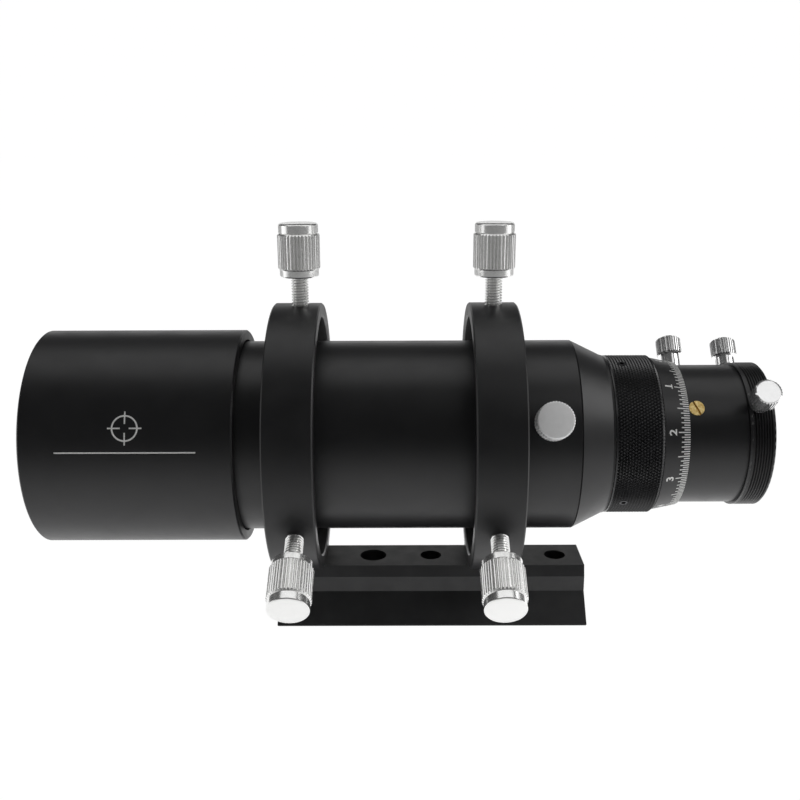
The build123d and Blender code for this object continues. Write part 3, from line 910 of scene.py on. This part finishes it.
def print_strip(line, width):
    """A painted line of a width along (x, reach) points, as a thin shell let into the surface."""
    vertices = []
    for index, (x, reach) in enumerate(line):
        before = line[max(index - 1, 0)]
        after = line[min(index + 1, len(line) - 1)]
        run = Vector((after[0] - before[0], after[1] - before[1])).normalized() * width / 2
        for side, height in STRIP_CORNERS:
            vertices.append(on_shield(x - side * run.y, reach + side * run.x, height))
    faces = [[0, 1, 2, 3], [len(vertices) - 1 - k for k in range(4)]]
    for index in range(len(line) - 1):
        start = 4 * index
        for k in range(4):
            after = (k + 1) % 4
            faces.append([start + k, start + 4 + k, start + 4 + after, start + after])
    return vertices, faces


def straight(x0, r0, x1, r1, steps=12):
    """Points along a straight printed line."""
    return [(x0 + (x1 - x0) * k / steps, r0 + (r1 - r0) * k / steps) for k in range(steps + 1)]


def circle_line(x, reach, radius, steps=48):
    """Points round a printed circle."""
    turns = [2 * math.pi * k / steps for k in range(steps + 1)]
    return [(x + radius * math.cos(t), reach + radius * math.sin(t)) for t in turns]


print_forms = [print_strip(circle_line(MARK_X, RETICLE_REACH, RETICLE), RETICLE_WIDTH)]
inner = 0.35 * RETICLE
outer = 1.35 * RETICLE
for dx, dy in ((1, 0), (-1, 0), (0, 1), (0, -1)):
    hair = straight(
        MARK_X + dx * inner, RETICLE_REACH + dy * inner,
        MARK_X + dx * outer, RETICLE_REACH + dy * outer,
    )
    print_forms.append(print_strip(hair, PRINT_WIDTH))
rule = straight(MARK_X - RULE_HALF, RULE_REACH, MARK_X + RULE_HALF, RULE_REACH)
print_forms.append(print_strip(rule, PRINT_WIDTH))
print_mesh = form_mesh("shield_print", joined(*print_forms))
add_piece("shield_reticle_print", print_mesh, marking, "shield")

# ---- stage, light and camera -------------------------------------------------------------------


def stage_plane(name, size, place, finish):
    """A flat square of the studio, size in metres."""
    half = size / 2
    mesh = bpy.data.meshes.new(name)
    corners = [(-half, -half, 0), (half, -half, 0), (half, half, 0), (-half, half, 0)]
    mesh.from_pydata(corners, [], [[0, 1, 2, 3]])
    mesh.materials.append(finish)
    made = bpy.data.objects.new(name, mesh)
    made.matrix_world = place
    bpy.context.scene.collection.objects.link(made)
    return made


TABLE_GLOW = 0.84           # painted pool of light: emission under the object, in front of it, and as a share behind it
TABLE_FRONT = 0.12
TABLE_BEHIND = 0.35
WORLD_GREY = 0.08


def table_finish():
    """Pale table with a painted pool of light as its glow: brightest under the object, darker in
    front and behind, in place of lamp light falling on it.
    """
    finish = Finish("table_finish", (0.8, 0.8, 0.8), 0.9)
    finish.shader.inputs["Specular IOR Level"].default_value = 0.1
    split = finish.add("SeparateXYZ")
    finish.link(finish.own_place(), split.inputs[0])
    glow = finish.add("Math", operation="MULTIPLY")
    depth = split.outputs["Y"]
    # painted light: the glow peaks under the object and fades in front and behind, like a pool of
    # light
    finish.link(finish.spread(depth, TABLE_FRONT, TABLE_GLOW, -0.20, -0.02), glow.inputs[0])
    finish.link(finish.spread(depth, 1.0, TABLE_BEHIND, 0.10, 0.30), glow.inputs[1])
    finish.shader.inputs["Emission Color"].default_value = (1, 1, 1, 1)
    finish.link(glow.outputs[0], finish.shader.inputs["Emission Strength"])
    return finish.made


def glowing(name, strength):
    """A surface that gives off white light and reflects nothing."""
    finish = Finish(name, (0, 0, 0), 1.0)
    finish.shader.inputs["Emission Color"].default_value = (1, 1, 1, 1)
    finish.shader.inputs["Emission Strength"].default_value = strength
    return finish.made


def area_light(name, location, target, width, depth, radiance):
    """A softbox of a size in metres, aimed at a target; radiance is its brightness."""
    data = bpy.data.lights.new(name, "AREA")
    data.shape = "RECTANGLE"
    data.size = width
    data.size_y = depth
    data.energy = radiance * math.pi * width * depth
    lamp = bpy.data.objects.new(name, data)
    bpy.context.scene.collection.objects.link(lamp)
    lamp.location = location
    lamp.rotation_euler = (Vector(target) - Vector(location)).to_track_quat("-Z", "Y").to_euler()
    return lamp


world = bpy.data.worlds.new("studio")
world.use_nodes = True
world.node_tree.nodes["Background"].inputs["Color"].default_value = (1, 1, 1, 1)
world.node_tree.nodes["Background"].inputs["Strength"].default_value = WORLD_GREY
bpy.context.scene.world = world


def only_for_camera(thing):
    """Hides a thing from reflections and light, but not from the camera."""
    thing.visible_diffuse = False
    thing.visible_glossy = False
    thing.visible_transmission = False
    thing.visible_shadow = False


STAGE_SIZE = 8.0
TABLE_Z = -0.0004           # just under the object, and under the floor that hides it
FLOOR_Z = -0.0002
stage_plane("table", STAGE_SIZE, Matrix.Translation((0, 0, TABLE_Z)), table_finish())

# a white floor and surroundings that only the camera sees, so the reflections stay dark
surround_white = glowing("surround_white", 1.0)
only_for_camera(
    stage_plane("floor", STAGE_SIZE, Matrix.Translation((0, 0, FLOOR_Z)), surround_white))
surround_mesh = bpy.data.meshes.new("surround")
ball = bmesh.new()
bmesh.ops.create_uvsphere(ball, u_segments=48, v_segments=24, radius=STAGE_SIZE / 2)
ball.to_mesh(surround_mesh)
ball.free()
surround_mesh.materials.append(surround_white)
surround = bpy.data.objects.new("surround", surround_mesh)
bpy.context.scene.collection.objects.link(surround)
only_for_camera(surround)

area_light("softbox", (0.0, 0.09, 0.62), (0, 0, 0.06), 0.8, 0.40, 0.9)
area_light("backlight", (0.0, 0.9, 0.25), (0, 0, 0.06), 1.4, 0.3, 0.8)
area_light("left_card", (-0.62, -0.06, 0.20), (0, 0, 0.08), 0.42, 0.36, 1.0)
area_light("right_card", (0.62, -0.06, 0.20), (0, 0, 0.08), 0.42, 0.36, 1.0)
area_light("right_softbox", (0.56, -0.06, 0.42), (0, 0, 0.06), 0.5, 0.26, 2.2)
area_light("right_fill", (0.25, -0.29, 0.53), (0.08, 0, 0.06), 0.30, 0.24, 0.85)

# camera: in front of the middle of the tube and a little above it
CAMERA_DISTANCE = 300.67
CAMERA_X = -8.0
CAMERA_ELEVATION = math.radians(17.5)
CAMERA_LOWER = 0.0337        # how far it points under the tube, so the tube stands above centre
CAMERA_YAW = -0.0043
CAMERA_ROLL = 0.0045         # takes up part of the tube's 0.4 degree tilt in the photograph
camera_data = bpy.data.cameras.new("camera")
camera_data.lens = 45.37
camera_data.sensor_width = 36.0
camera_data.clip_start = 0.01
camera = bpy.data.objects.new("camera", camera_data)
bpy.context.scene.collection.objects.link(camera)
pitch = CAMERA_ELEVATION - CAMERA_LOWER
forward = Vector((CAMERA_YAW, math.cos(pitch), -math.sin(pitch))).normalized()
level = forward.cross(Vector((0, 0, 1))).normalized()
right = (Matrix.Rotation(CAMERA_ROLL, 3, forward) @ level).normalized()
upward = right.cross(forward)
camera_turn = Matrix((right, upward, -forward)).transposed().to_4x4()
camera_place = Vector((
    CAMERA_X,
    -CAMERA_DISTANCE * math.cos(CAMERA_ELEVATION),
    tube_z + CAMERA_DISTANCE * math.sin(CAMERA_ELEVATION),
)) * MM
camera.matrix_world = Matrix.Translation(camera_place) @ camera_turn
bpy.context.scene.camera = camera
bpy.context.scene.view_settings.view_transform = "Standard"
